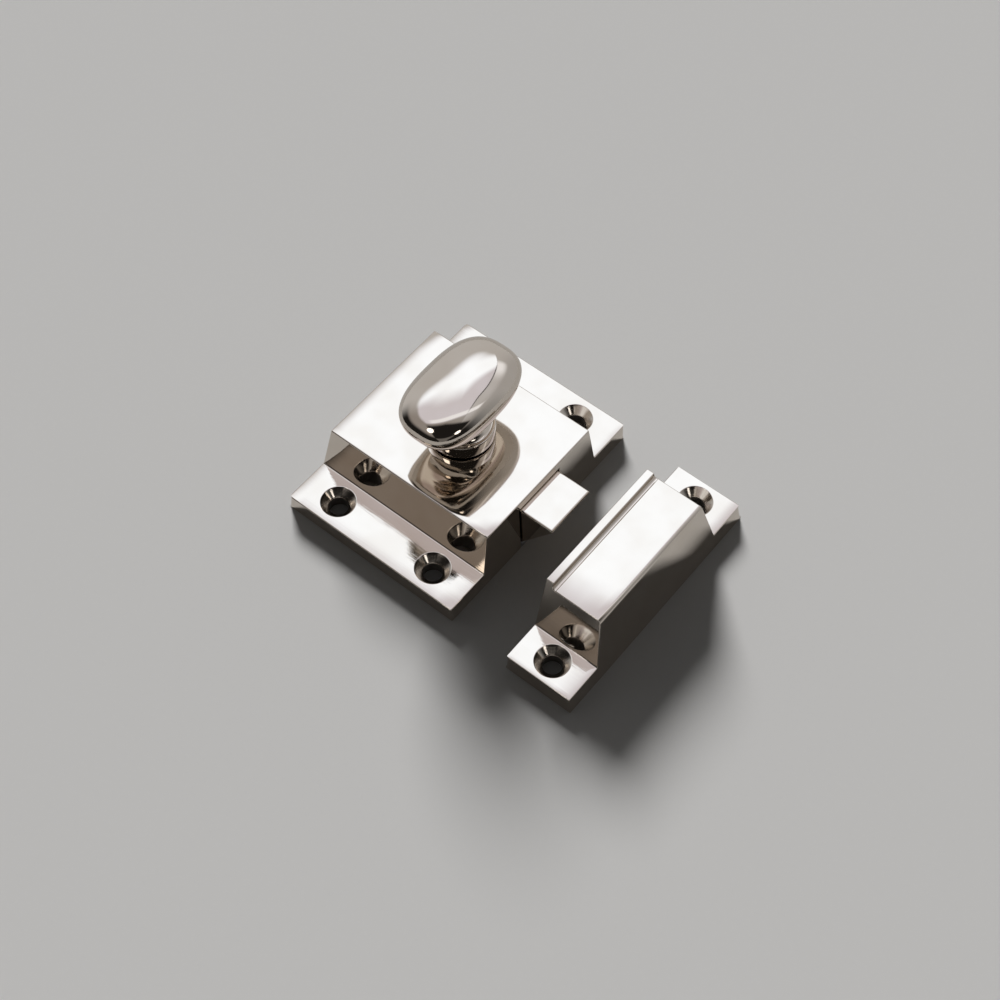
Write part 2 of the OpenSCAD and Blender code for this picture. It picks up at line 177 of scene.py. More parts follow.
BAR_ACROSS = (BOX_EDGE, BOX_EDGE + 0.015, 0.022)
BAR_AWAY = (0.15, 0.75, 0.4)
BAR_SHADE = 0.85
LAMPS = ((-0.14, -0.63, 0.77), (0.86, -0.16, 0.49))
LAMP_EDGE = (0.9962, 0.9986)
# Soft light on the floor: its run towards the camera and its run overhead
FILL_NEAR = (-0.35, 0.55)
FILL_OVERHEAD = (0.45, 0.9)

# Sockets of a colour Mix node
MIX_SHARE, MIX_A, MIX_B, MIX_RESULT = 0, 6, 7, 2


def length(name, description, default):
    """A length property in metres."""
    return FloatProperty(
        name=name,
        description=description,
        default=default,
        min=0.0,
        precision=5,
        subtype="DISTANCE",
        unit="LENGTH",
    )


def colour(name, description, default):
    """A linear colour property; a light's colour may go above white."""
    return FloatVectorProperty(
        name=name, description=description, default=default, min=0.0, soft_max=1.0, size=3, subtype="COLOR"
    )


def turn(name, description, degrees):
    """An angle property, given in degrees and kept in radians."""
    return FloatProperty(name=name, description=description, default=math.radians(degrees), subtype="ANGLE")


def share(name, description, default, top=1.0):
    """A plain number property from zero to its top."""
    return FloatProperty(name=name, description=description, default=default, min=0.0, max=top)


def whole(name, description, default, least, most):
    """A whole number property between two limits."""
    return IntProperty(name=name, description=description, default=default, min=least, max=most)


class CatchSizes(bpy.types.PropertyGroup):
    """Roundings of the worked edges, and the forms that are drawn finer than the frame."""

    case_edge: length("Case edges", "Rounding of the case's edges", 0.22 * MM)
    rim_edge: length("Hole rims", "Rounding of the countersinks' rims", 0.1 * MM)
    bolt_edge: length("Bolt edges", "Rounding of the bolt's edges", 0.2 * MM)
    bolt_shoulder: length("Bolt shoulders", "Rounding of the bolt's top edges", 0.4 * MM)
    strike_edge: length("Strike edges", "Rounding of the strike's edges", 0.16 * MM)
    strike_shoulder: length("Strike shoulder", "Rounding of the strike's outer top edge", 0.7 * MM)
    corner_edge: length("Flange corners", "Rounding of the flanges' worn upright corners", 0.9 * MM)
    plate_edge: length("Sheet edges", "Rounding of the small inner pieces' edges", 0.08 * MM)
    edge_steps: whole("Edge steps", "Facets across a rounded edge", 4, 1, 8)

    countersink_d: length("Countersink", "Diameter of the countersinks", 6.6 * MM)
    hole_d: length("Screw hole", "Diameter of the bores below the countersinks", 3.6 * MM)
    flange_t: length("Case flange", "Thickness of the case's screw flanges", 3.75 * MM)
    strike_flange_t: length("Strike flange", "Thickness of the strike's screw flanges", 3.55 * MM)
    strike_top: length("Strike top", "Height of the strike's top below its lip", 14.15 * MM)
    buffed_corner: length("Buffed corners", "Reach of the tops' corners that buffing rolled off", 5.0 * MM)
    wall_hollow: share("Wall hollow", "Slope that buffing left at the foot and top of the end walls", 0.03)

    knob_power: share("Oval squareness", "Squareness of the knob's oval, 2 is a true ellipse", 2.7, 4.0)
    dome_h: length("Dome", "Height of the dome above the head's widest line", 4.3 * MM)
    under_h: length("Underside", "Depth of the head's underside below its widest line", 4.6 * MM)
    under_share: share("Underside share", "Share of the oval that the underside keeps", 0.62)
    neck_d: length("Neck", "Diameter of the neck", 9.0 * MM)
    neck_cove_h: length("Neck hollow", "Height of the hollow curve above the collar", 1.9 * MM)
    collar_d: length("Collar", "Diameter of the collar", 12.4 * MM)
    collar_h: length("Collar height", "Height of the collar", 3.0 * MM)
    collar_edge: length("Collar edges", "Rounding of the collar's edges", 0.25 * MM)
    spindle_grip: length("Spindle bore", "Depth of the bore that holds the spindle", 7.02 * MM)
    knob_sides: whole("Knob sides", "Points round the knob", 192, 24, 512)
    knob_steps: whole("Knob steps", "Rings in each curve of the knob", 24, 6, 64)

    wire_d: length("Spring wire", "Diameter of the spring's wire", 0.5 * MM)
    spring_turns: whole("Spring turns", "Coils in the spring", 9, 4, 20)
    spring_steps: whole("Spring steps", "Rings in one coil", 40, 8, 96)
    wire_sides: whole("Wire sides", "Points round the wire", 14, 6, 32)


class CatchFinishes(bpy.types.PropertyGroup):
    """Colours and polish of the metals."""

    nickel: colour("Nickel", "Colour of the polished nickel", (0.67, 0.61, 0.545))
    nickel_deep: colour("Nickel, deep", "Colour where the plating is thinner", (0.635, 0.57, 0.50))
    # The darker end of the painted light and dark sectors in the countersinks, which stand in for the sheen of
    # their turning
    nickel_sector_shade: colour("Nickel, turned", "Colour of the machined countersinks", (0.56, 0.515, 0.46))
    # Darker than the nickel to paint the shade inside the drilled bores
    shaded_bore: colour("Bores", "Colour of the drilled bores below the countersinks", (0.34, 0.315, 0.29))
    brass: colour("Brass", "Colour of the rolled brass", (0.75, 0.57, 0.30))
    brass_dull: colour("Brass, dull", "Colour of the brass where it has dulled", (0.48, 0.34, 0.17))
    steel: colour("Steel", "Colour of the drawn steel", (0.56, 0.56, 0.57))
    steel_dark: colour("Steel, dark", "Colour of the steel in its tool marks", (0.34, 0.34, 0.35))
    polish: share("Polish", "Roughness of the polished faces", 0.035)
    turned: share("Turned faces", "Roughness of the machined countersinks", 0.1)
    drilled: share("Drilled faces", "Roughness of the drilled bores", 0.45)
    back: share("Back faces", "Roughness of the faces that lie against the wood", 0.36)


class CatchStudio(bpy.types.PropertyGroup):
    """Camera, floor and lights."""

    aim: FloatVectorProperty(
        name="Aim",
        description="Point that the camera looks at",
        default=(0.01003, -0.00023, 0.0),
        size=3,
        subtype="XYZ",
    )
    distance: length("Distance", "Distance of the camera from its aim", 0.36418)
    azimuth: turn("Azimuth", "Turn of the camera round the part", 38.81)
    elevation: turn("Elevation", "Height of the camera above the horizon", 57.35)
    lens: FloatProperty(
        name="Lens",
        description="Focal length in millimetres",
        default=71.06,
        min=10.0,
        max=300.0,
        unit="CAMERA",
    )

    floor: colour("Floor", "Colour of the floor", (0.78, 0.77, 0.755))
    floor_side: length("Floor side", "Side of the floor", 16.0)
    key_light: share("Key light", "Strength of the key light behind the part", 3.6, 10.0)
    key_elevation: turn("Key elevation", "Height of the key light above the horizon", 28.0)
    key_turn: turn("Key turn", "Turn of the key light out of the camera's line", 10.0)
    key_angle: turn("Key softness", "Angle that the key light fills", 18.0)
    fill_far: colour("Fill, far side", "Soft floor light from behind the part", (0.18, 0.177, 0.173))
    fill_near: colour("Fill, near side", "Soft floor light from the camera's side", (0.04, 0.039, 0.038))
    fill_top: colour("Fill, overhead", "Soft floor light from overhead", (0.03, 0.0295, 0.029))

    walls: colour("Walls", "Colour of the room's walls in the metal", (0.64, 0.64, 0.645))
    walls_right: colour("Walls, right", "Colour of the right wall in the metal", (0.50, 0.50, 0.505))
    walls_near: colour("Walls, near end", "Colour of the side walls beside the camera", (0.37, 0.345, 0.33))
    dark_side: colour("Dark side", "Colour of the unlit ceiling on the camera's side", (0.016, 0.015, 0.014))
    low_side: colour("Low side", "Colour of the low wall on the camera's side", (0.17, 0.163, 0.156))
    softbox: colour("Softbox", "Brightness of the overhead softbox", (1.46, 1.60, 1.78))
    softbox_near: colour("Softbox, near end", "Brightness of the softbox at its near end", (0.86, 0.85, 0.95))
    side_box: colour("Side softbox", "Brightness of the softbox beside it", (1.18, 1.22, 1.30))
    side_low: colour("Side softbox, near end", "Brightness of its near end", (0.66, 0.66, 0.68))
    lamp: colour("Small lamps", "Brightness of the two small lamps", (2.6, 2.5, 2.4))


class Term:
    """One output socket in a node tree, so that shader maths reads as plain arithmetic."""

    def __init__(self, finish, socket):
        self.finish = finish
        self.socket = socket

    def math(self, operation, *terms):
        return self.finish.node("ShaderNodeMath", {"operation": operation}, dict(enumerate(terms)))

    def __add__(self, other):
        return self.math("ADD", self, other)

    def __radd__(self, other):
        return self.math("ADD", other, self)

    def __sub__(self, other):
        return self.math("SUBTRACT", self, other)

    def __rsub__(self, other):
        return self.math("SUBTRACT", other, self)

    def __mul__(self, other):
        return self.math("MULTIPLY", self, other)

    def __rmul__(self, other):
        return self.math("MULTIPLY", other, self)

    def __truediv__(self, other):
        return self.math("DIVIDE", self, other)

    def __rtruediv__(self, other):
        return self.math("DIVIDE", other, self)

    def __pow__(self, other):
        return self.math("POWER", self, other)

    def __rpow__(self, other):
        return self.math("POWER", other, self)

    def __abs__(self):
        return self.math("ABSOLUTE", self)

    def sine(self):
        return self.math("SINE", self)

    def over(self, low):
        """The larger of this and a number."""
        return self.math("MAXIMUM", self, low)

    def under(self, high):
        """The smaller of this and a number."""
        return self.math("MINIMUM", self, high)

    def ramp(self, low, high):
        """0 at low, 1 at high, with a smooth run between."""
        values = {"Value": self, "From Min": low, "From Max": high}
        return self.finish.node("ShaderNodeMapRange", {"interpolation_type": "SMOOTHSTEP"}, values)

    def ramp_past(self, place, run):
        """0 to 1 over a run of distances past a place."""
        return self.ramp(place + run[0], place + run[1])

    def within(self, low, high, soft):
        """1 between two limits, with a soft run outside each."""
        return self.ramp(low - soft, low) * (1 - self.ramp(high, high + soft))


class Finish:
    """A node tree that is put together from Python expressions."""

    def __init__(self, tree):
        self.tree = tree
        tree.nodes.clear()

    def node(self, kind, settings=None, values=None, output=0):
        """Adds a node: its settings first, then the values or links of its sockets."""
        made = self.tree.nodes.new(kind)
        for key, setting in (settings or {}).items():
            setattr(made, key, setting)
        for key, value in (values or {}).items():
            if isinstance(value, Term):
                self.tree.links.new(value.socket, made.inputs[key])
            else:
                made.inputs[key].default_value = value
        return Term(self, made.outputs[output]) if made.outputs else None

    def place(self):
        """The point on the surface, in the frame's axes."""
        return self.node("ShaderNodeTexCoord", output="Object")

    def facing(self):
        """The surface's own direction, in the frame's axes."""
        return self.node("ShaderNodeTexCoord", output="Normal")

    def split(self, vector):
        """The three parts of a vector."""
        made = self.node("ShaderNodeSeparateXYZ", values={"Vector": vector}).socket.node
        return [Term(self, socket) for socket in made.outputs]

    def join(self, x, y, z):
        """A vector from its three parts."""
        return self.node("ShaderNodeCombineXYZ", values={"X": x, "Y": y, "Z": z})

    def mix(self, amount, first, second):
        """A colour between two colours."""
        values = {MIX_SHARE: amount, MIX_A: rgba(first), MIX_B: rgba(second)}
        return self.node("ShaderNodeMix", {"data_type": "RGBA"}, values, MIX_RESULT)

    def noise(self, vector, scale, detail=2.0, roughness=0.5):
        """Smooth noise from 0 to 1, with scale in features per metre."""
        values = {"Vector": vector, "Scale": scale, "Detail": detail, "Roughness": roughness}
        return self.node("ShaderNodeTexNoise", {"noise_dimensions": "3D"}, values)

    def dot(self, vector, other):
        """How far a vector runs along a direction."""
        return self.node("ShaderNodeVectorMath", {"operation": "DOT_PRODUCT"}, {0: vector, 1: other}, "Value")

    def tilted(self, facing, tilt):
        """A direction that is turned by a small tilt."""
        leaning = self.node("ShaderNodeVectorMath", {"operation": "ADD"}, {0: facing, 1: tilt})
        return self.node("ShaderNodeVectorMath", {"operation": "NORMALIZE"}, {0: leaning})

    def stretched(self, vector, scale):
        """The vector with each of its axes multiplied."""
        return self.node("ShaderNodeVectorMath", {"operation": "MULTIPLY"}, {0: vector, 1: scale})


def rgba(value):
    """A colour property as a socket value; a linked colour is left as it is."""
    return value if isinstance(value, Term) else (*value, 1.0)


def metal(name, base, roughness, height, facing=None):
    """A metal material from a colour, a roughness, a height in metres and the direction that it stands on."""
    material = bpy.data.materials.get(name)
    if material is None:
        raise RuntimeError(f"no material named {name} was started")
    finish = base.finish
    bump = {"Strength": 1.0, "Distance": 1.0, "Height": height}
    if facing is not None:
        bump["Normal"] = facing
    values = {"Base Color": base, "Metallic": 1.0, "Roughness": roughness}
    values["Normal"] = finish.node("ShaderNodeBump", values=bump)
    shader = finish.node("ShaderNodeBsdfPrincipled", values=values)
    finish.node("ShaderNodeOutputMaterial", values={"Surface": shader})
    return material


def started(name):
    """An empty material's node tree."""
    material = bpy.data.materials.new(name)
    material.use_nodes = True
    return Finish(material.node_tree)


def relief(noise, spacing, slope):
    """Height in metres of noise from 0 to 1, from the spacing and the steepness of its marks."""
    return (noise - 0.5) * (slope * spacing)


def waviness(finish, place, spacing, slope):
    """Height of a polished face's slow hand-made waves."""
    return relief(finish.noise(place, 1 / spacing, detail=1.0), spacing, slope)


def brush_lines(finish, place, axis, spacing, stretch=0.02):
    """Noise from 0 to 1 in fine lines that run along one axis."""
    scale = [1.0, 1.0, 1.0]
    scale[axis] = stretch
    return finish.noise(finish.stretched(place, scale), 1 / spacing, detail=3.0, roughness=0.6)


def hairlines(finish, place, axis, spacing, slope):
    """Height of fine lines that run along one axis."""
    return relief(brush_lines(finish, place, axis, spacing), spacing, slope)


def outline(node, height):
    """The lowest and highest corner of a CAD node's vertices at one height."""
    points = [vertex.co for vertex in frame["nodes"][node].data.vertices if abs(vertex.co.z - height) < WELD]
    if not points:
        raise RuntimeError(f"{node} has no vertices at {height}")
    return [Vector(tuple(pick(point[axis] for point in points) for axis in (X, Y, Z))) for pick in (min, max)]


def inside(reach, width):
    """How far a place has come through a border: 0 where the border starts, 1 at its edge and past it."""
    return ((reach + width) / width).over(0.0).under(1.0)


def rolled(reach, border):
    """Tilt of a rolled border, from how far a place reaches past the border's edge."""
    width, slope = border
    return inside(reach, width * MM) * slope


def buffed(finish, place, node, levels, rolls, sizes):
    """The surface's direction, where hand buffing rolled off the upper faces and hollowed the end walls.

    Its levels are the heights of the flanges and the top. Its rolls give the borders of the flanges,
    those of the top, and the slopes of the top's low rear corner and its high front corner.
    """
    x, y, z = finish.split(place)
    flange_z, top_z = levels
    flange_low, flange_high = outline(node, flange_z)
    top_low, top_high = outline(node, top_z)
    rise = (z - flange_z) / (top_z - flange_z)
    past_low = flange_low.x + rise * (top_low.x - flange_low.x) - x
    past_high = x - flange_high.x - rise * (top_high.x - flange_high.x)

    def tilts(borders, front_y, rear_y):
        low, high, front, rear = borders
        return (
            rolled(past_high, high) - rolled(past_low, low),
            rolled(y - rear_y, rear) - rolled(front_y - y, front),
        )

    flange_rolls, top_rolls, (rear_slope, front_slope) = rolls
    flange_x, flange_y = tilts(flange_rolls, flange_low.y, flange_high.y)
    top_x, top_y = tilts(top_rolls, top_low.y, top_high.y)
    reach = sizes.buffed_corner
    rear_corner = inside(past_low, reach) * inside(y - top_high.y, reach) * rear_slope
    front_corner = inside(past_high, reach) * inside(top_low.y - y, reach) * front_slope
    corners = front_corner - rear_corner
    upper = z.ramp_past(flange_z, TOP_BORDERS)
    tilt_x = flange_x + upper * (top_x + corners - flange_x)
    tilt_y = flange_y + upper * (top_y - corners - flange_y)

    facing = finish.node("ShaderNodeNewGeometry", output="Normal")
    facing_y, facing_z = finish.split(facing)[Y:]
    level = facing_z.ramp(*LEVEL)
    wall = abs(facing_y).ramp(*END_WALL) * z.ramp_past(flange_z, WALL_FOOT)
    hollow = (1 - 2 * rise).over(-1.0) * wall * sizes.wall_hollow
    return finish.tilted(facing, finish.join(tilt_x * level, tilt_y * level, hollow))


def plated(finish, place, cloud, finishes):
    """Colour and roughness of polished nickel, with faint clouds of one size in its plating."""
    clouds = finish.noise(place, 1 / cloud)
    grain = finish.noise(place, 1 / GRAIN)
    base = finish.mix(clouds.ramp(*CLOUDS), finishes.nickel, finishes.nickel_deep)
    return base, finishes.polish + GRAIN_ROUGH * grain + CLOUD_ROUGH * clouds


def nickel_with_holes(name, node, holes, levels, rolls, sizes, finishes):
    """Polished nickel with buffed edges, worked flanges, machined countersinks with painted sheen sectors, bores
    darkened with painted shade, and a plainer back.
    """
    finish = started(name)
    place = finish.place()
    x, y, z = finish.split(place)
    flange_z = levels[0]
    centre, half_x, half_y = holes
    across = abs(x - centre.x) - half_x
    along = abs(y - centre.y) - half_y
    radius = (across * across + along * along) ** 0.5
    below = 1 - z.ramp_past(flange_z, UNDER_FLANGE)
    cone = below * (1 - radius.ramp_past(sizes.countersink_d / 2, CONE_EDGE))
    shaded_bore = 1 - radius.ramp_past(sizes.hole_d / 2, BORE_EDGE)
    back = (finish.split(finish.facing())[Z] * -1.0).ramp(*BACK)
    flange = 1 - z.ramp_past(flange_z, FLANGE_LINES)

    round_hole = finish.join(across / radius, along / radius, 0.0)
    # Painted reflection: light and dark sectors round each hole stand in for the sheen of the turned countersink
    painted_sheen_sectors = finish.noise(round_hole, scale=9.0, detail=3.0, roughness=0.65)
    painted_sheen = finish.mix(painted_sheen_sectors.ramp(*SHEEN_SECTORS), finishes.nickel_sector_shade, finishes.nickel)
    clear, polish = plated(finish, place, 7 * MM, finishes)
    # The bores' darker colour is painted shade inside the holes
    base = finish.mix(shaded_bore, finish.mix(cone, clear, painted_sheen), finishes.shaded_bore)
    roughness = polish + cone * (finishes.turned - finishes.polish) + back * (finishes.back - finishes.polish)
    roughness = roughness + shaded_bore * (finishes.drilled - finishes.turned)

    waves = waviness(finish, place, spacing=6 * MM, slope=0.004)
    worked = hairlines(finish, place, X, spacing=0.3 * MM, slope=0.03) * flange * (1 - cone)
    rings = (radius * (2 * math.pi / RING_PITCH)).sine() * (cone * RING_DEPTH)
    linished = hairlines(finish, place, Y, spacing=0.25 * MM, slope=0.35) * back
    facing = buffed(finish, place, node, levels, rolls, sizes)
    return metal(name, base, roughness, waves + worked + rings + linished, facing)


def nickel_plain(name, finishes, line_axis=None):
    """Polished nickel, with faint lines along one axis where one is given."""
    finish = started(name)
    place = finish.place()
    base, roughness = plated(finish, place, 6 * MM, finishes)
    height = waviness(finish, place, spacing=6 * MM, slope=0.003)
    if line_axis is not None:
        height = height + hairlines(finish, place, line_axis, spacing=0.25 * MM, slope=0.03)
    return metal(name, base, roughness, height)


def rolled_brass(name, finishes):
    """Rolled brass sheet with brush lines along Y and patches where it has dulled."""
    finish = started(name)
    place = finish.place()
    spacing = 0.22 * MM
    patches = finish.noise(place, 1 / (5 * MM), detail=4.0, roughness=0.6).ramp(0.42, 0.68)
    lines = brush_lines(finish, place, Y, spacing)
    dulled = patches * 0.55 + lines * 0.2
    base = finish.mix(dulled, finishes.brass, finishes.brass_dull)
    roughness = 0.26 + 0.18 * patches + 0.1 * lines
    return metal(name, base, roughness, relief(lines, spacing, slope=0.3))


def turned_steel(name, axis, pitch, finishes):
    """Bright drawn steel with tool marks that follow one another along an axis."""
    finish = started(name)
    place = finish.place()
    wobble = finish.noise(place, 1 / (1.2 * MM), detail=3.0, roughness=0.6)
    phase = finish.split(place)[axis] * (2 * math.pi / pitch) + wobble * 5.0
    marks = phase.sine() * 0.5 + 0.5
    darkened = marks * 0.45 + wobble * 0.35
    base = finish.mix(darkened, finishes.steel, finishes.steel_dark)
    roughness = 0.22 + 0.12 * wobble + 0.06 * marks
    depth = 0.06 * pitch
    return metal(name, base, roughness, marks * depth)


def brushed_steel(name, axis, finishes):
    """Flat steel with fine brush lines along an axis."""
    finish = started(name)
    place = finish.place()
    spacing = 0.2 * MM
    lines = brush_lines(finish, place, axis, spacing, stretch=0.03)
    clouds = finish.noise(place, 1 / (2.5 * MM), detail=3.0)
    darkened = lines * 0.5 + clouds * 0.3
    base = finish.mix(darkened, finishes.steel, finishes.steel_dark)
    roughness = 0.25 + 0.15 * lines + 0.05 * clouds
    return metal(name, base, roughness, relief(lines, spacing, slope=0.25))


def new_piece(name, mesh, material, body, slot, node):
    """Stands a finished mesh in for a CAD node, on the body that carries it."""
    mesh.materials.append(material)
    piece = bpy.data.objects.new(name, mesh)
    bpy.context.scene.collection.objects.link(piece)
    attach(piece, body)
    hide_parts(node)
    return piece


def closed_copy(node):
    """A CAD node's surface as a closed skin, with its flat faces whole."""
    skin = bmesh.new()
    skin.from_mesh(frame["nodes"][node].data)
    bmesh.ops.remove_doubles(skin, verts=skin.verts, dist=WELD)
    bmesh.ops.dissolve_limit(skin, angle_limit=FLAT, verts=skin.verts, edges=skin.edges)
    if any(len(edge.link_faces) != 2 for edge in skin.edges):
        raise RuntimeError(f"the skin of {node} is not closed")
    return skin


def weigh_edges(skin, rounding):
    """Marks each sharp edge with its share of the widest rounding, and returns that width.

    An edge's rounding is given for its middle and its run.
    """
    weight = skin.edges.layers.float.new("bevel_weight_edge")
    radii = {}
    for edge in skin.edges:
        if edge.calc_face_angle() > CREASE:
            start, end = (vertex.co for vertex in edge.verts)
            radii[edge] = rounding((start + end) / 2, (end - start).normalized())
    widest = max(radii.values())
    for edge, radius in radii.items():
        edge[weight] = radius / widest
    return widest


def softened_piece(name, node, material, body, slot, rounding, steps):
    """Makes a copy of a CAD node with its sharp edges rounded."""
    skin = closed_copy(node)
    widest = weigh_edges(skin, rounding)
    mesh = bpy.data.meshes.new(name)
    skin.to_mesh(mesh)
    skin.free()
    mesh.shade_smooth()
    piece = new_piece(name, mesh, material, body, slot, node)
    bevel = piece.modifiers.new("Rounded edges", "BEVEL")
    bevel.limit_method = "WEIGHT"
    bevel.width = widest
    bevel.segments = steps
    bevel.use_clamp_overlap = False
    bevel.loop_slide = False
    normals = piece.modifiers.new("Flat faces", "WEIGHTED_NORMAL")
    normals.weight = 100
    normals.keep_sharp = True


def near_circle(point, holes, radius, slack=0.05 * MM):
    """Whether a point lies on a circle of that radius round one of four mirrored holes."""
    centre, half_x, half_y = holes
    across = abs(point.x - centre.x) - half_x
    along = abs(point.y - centre.y) - half_y
    return abs(math.hypot(across, along) - radius) < slack


def worn_corner(point, run, middle, flange_t):
    """Whether an edge is an upright corner of a flange, other than the crisp one at the front on high X."""
    crisp = point.x > middle.x and point.y < middle.y
    return abs(run.z) > MOSTLY and point.z < flange_t and not crisp


def hole_pattern(mount):
    """Middle of a screw pattern, with half its spacing along X and along Y."""
    dims = MOUNTS[mount]["dims"]
    return (
        Vector(MOUNTS[mount]["pos_m"]),
        dims.get("spacing_x_mm", 0.0) / 2 * MM,
        dims.get("spacing_y_mm", 0.0) / 2 * MM,
    )


def ring_skin(name, rings, start, end):
    """A closed skin over rings of points, with a point or a flat face at each end."""
    skin = bmesh.new()
    loops = [[skin.verts.new(point) for point in ring] for ring in rings]
    count = len(loops[0])
    for low, high in zip(loops, loops[1:]):
        for i in range(count):
            after = (i + 1) % count
            skin.faces.new((low[i], low[after], high[after], high[i]))
    for loop, tip, order in ((loops[0], start, -1), (loops[-1], end, 1)):
        if tip is None:
            skin.faces.new(loop[::order])
            continue
        point = skin.verts.new(tip)
        for i in range(count):
            pair = (loop[i], loop[(i + 1) % count])
            skin.faces.new((*pair[::order], point))
    mesh = bpy.data.meshes.new(name)
    skin.to_mesh(mesh)
    skin.free()
    mesh.shade_smooth()
    mesh.set_sharp_from_angle(angle=SHARP)
    return mesh


def quarter(steps):
    """Angles from just above zero to a right angle."""
    return [math.pi / 2 * step / steps for step in range(1, steps + 1)]


def knob_profile(sizes, head, rise):
    """Rings of the knob from its bore to just below its crown.

    Each ring is a height above the case, half a width, half a length and a squareness.
    """
    half_w, half_l = head
    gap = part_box("knob")[0].z - KNOB_AXIS.z
    rim = sizes.collar_d / 2
    edge = sizes.collar_edge
    collar_top = gap + sizes.collar_h
    neck_r = sizes.neck_d / 2
    neck_z = collar_top + sizes.neck_cove_h
    under_z = rise - sizes.under_h
    bore_r = (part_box("spindle")[1].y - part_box("spindle")[0].y) / 2
    steps = sizes.knob_steps
    round_rings = [(gap + sizes.spindle_grip, bore_r), (gap, bore_r)]
    for angle in [0.0] + quarter(COLLAR_STEPS):
        round_rings.append((gap + edge * (1 - math.cos(angle)), rim - edge * (1 - math.sin(angle))))
    for angle in [0.0] + quarter(COLLAR_STEPS):
        round_rings.append((collar_top - edge * (1 - math.sin(angle)), rim - edge * (1 - math.cos(angle))))
    for angle in quarter(steps):
        radius = rim - edge - (rim - edge - neck_r) * math.sin(angle)
        round_rings.append((collar_top + sizes.neck_cove_h * (1 - math.cos(angle)), radius))
    rings = [(height, radius, radius, ROUND) for height, radius in round_rings]
    for angle in quarter(steps):
        flare = 1 - math.cos(angle)
        spread = [neck_r + (sizes.under_share * half - neck_r) * flare for half in (half_w, half_l)]
        power = ROUND + (sizes.knob_power - ROUND) * flare
        rings.append((neck_z + (under_z - neck_z) * math.sin(angle), *spread, power))
    for angle in quarter(steps):
        part = sizes.under_share + (1 - sizes.under_share) * math.sin(angle)
        rings.append((rise - sizes.under_h * math.cos(angle), part * half_w, part * half_l, sizes.knob_power))
    for angle in quarter(2 * steps)[:-1]:
        part = math.cos(angle)
        rings.append((rise + sizes.dome_h * math.sin(angle), part * half_w, part * half_l, sizes.knob_power))
    return rings


def oval(ring, sides):
    """Points of one oval ring about the knob's axis."""
    height, half_w, half_l, power = ring
    points = []
    for i in range(sides):
        angle = 2 * math.pi * i / sides
        c, s = math.cos(angle), math.sin(angle)
        swell = (abs(c) ** power + abs(s) ** power) ** (-1 / power)
        points.append(KNOB_AXIS + Vector((half_w * c * swell, half_l * s * swell, height)))
    return points


def coil(sizes, low, high):
    """Rings of points round the spring's wire, in a coil along X that fills a box."""
    axis_y, axis_z = (low.y + high.y) / 2, (low.z + high.z) / 2
    wire_r = sizes.wire_d / 2
    coil_r = (high.z - low.z) / 2 - wire_r
    turns = sizes.spring_turns
    # The first and last turns lie closed, a wire apart, and the wire itself takes up one more
    open_turns = turns - 2
    open_run = high.x - low.x - 3 * sizes.wire_d
    rings = []
    for i in range(turns * sizes.spring_steps + 1):
        wound = i / sizes.spring_steps
        closed = min(wound, 1) + max(wound - turns + 1, 0)
        opened = min(max(wound - 1, 0), open_turns) / open_turns
        x = low.x + wire_r + sizes.wire_d * closed + open_run * opened
        angle = 2 * math.pi * wound
        ring = []
        for k in range(sizes.wire_sides):
            around = 2 * math.pi * k / sizes.wire_sides
            out = coil_r + wire_r * math.cos(around)
            past = wire_r * math.sin(around)
            ring.append(Vector((x + past, axis_y + out * math.cos(angle), axis_z + out * math.sin(angle))))
        rings.append(ring)
    return rings


class CATCH_OT_case(bpy.types.Operator):
    """Builds the screw-on case with its rounded edges and machined holes"""

    bl_idname = "catch.case"
    bl_label = "Case"

    def execute(self, context):
        sizes, finishes = context.scene.catch_sizes, context.scene.catch_finishes
        holes = hole_pattern("case_screws")
        levels = (sizes.flange_t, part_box("case")[1].z)
        nickel = nickel_with_holes(
            "polished_nickel_case", "case", holes, levels, CASE_ROLLS, sizes, finishes
        )

        def rounding(point, run):
            if near_circle(point, holes, sizes.countersink_d / 2):
                return sizes.rim_edge
            worn = worn_corner(point, run, holes[0], sizes.flange_t)
            return sizes.corner_edge if worn else sizes.case_edge

        softened_piece("case_shell", "case", nickel, "case", "polished_nickel", rounding, sizes.edge_steps)
        return {"FINISHED"}


class CATCH_OT_back_plate(bpy.types.Operator):
    """Builds the steel back plate and its two countersunk screws"""

    bl_idname = "catch.back_plate"
    bl_label = "Back Plate"

    def execute(self, context):
        sizes, finishes = context.scene.catch_sizes, context.scene.catch_finishes
        sheet = brushed_steel("brushed_steel_plate", Y, finishes)
        turned = turned_steel("turned_steel_screws", Z, 0.4 * MM, finishes)
        for name, node, material, edge in (
            ("back_plate_sheet", "back_plate", sheet, sizes.plate_edge),
            ("plate_screws", "back_plate_screws", turned, sizes.plate_edge / 2),
        ):
            softened_piece(name, node, material, "case", "steel", lambda point, run: edge, HIDDEN_STEPS)
        return {"FINISHED"}


class CATCH_OT_knob(bpy.types.Operator):
    """Builds the oval turn knob as a smooth loft from its collar to its crown"""

    bl_idname = "catch.knob"
    bl_label = "Knob"

    def execute(self, context):
        sizes, finishes = context.scene.catch_sizes, context.scene.catch_finishes
        low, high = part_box("knob")
        head = ((high.x - low.x) / 2, (high.y - low.y) / 2)
        rise = high.z - KNOB_AXIS.z - sizes.dome_h
        rings = [oval(ring, sizes.knob_sides) for ring in knob_profile(sizes, head, rise)]
        bore_end = KNOB_AXIS + Vector((0.0, 0.0, low.z - KNOB_AXIS.z + sizes.spindle_grip))
        crown = Vector((KNOB_AXIS.x, KNOB_AXIS.y, high.z))
        mesh = ring_skin("oval_knob", rings, bore_end, crown)
        nickel = nickel_plain("polished_nickel_knob", finishes)
        new_piece("oval_knob", mesh, nickel, "knob", "polished_nickel", "knob")
        return {"FINISHED"}


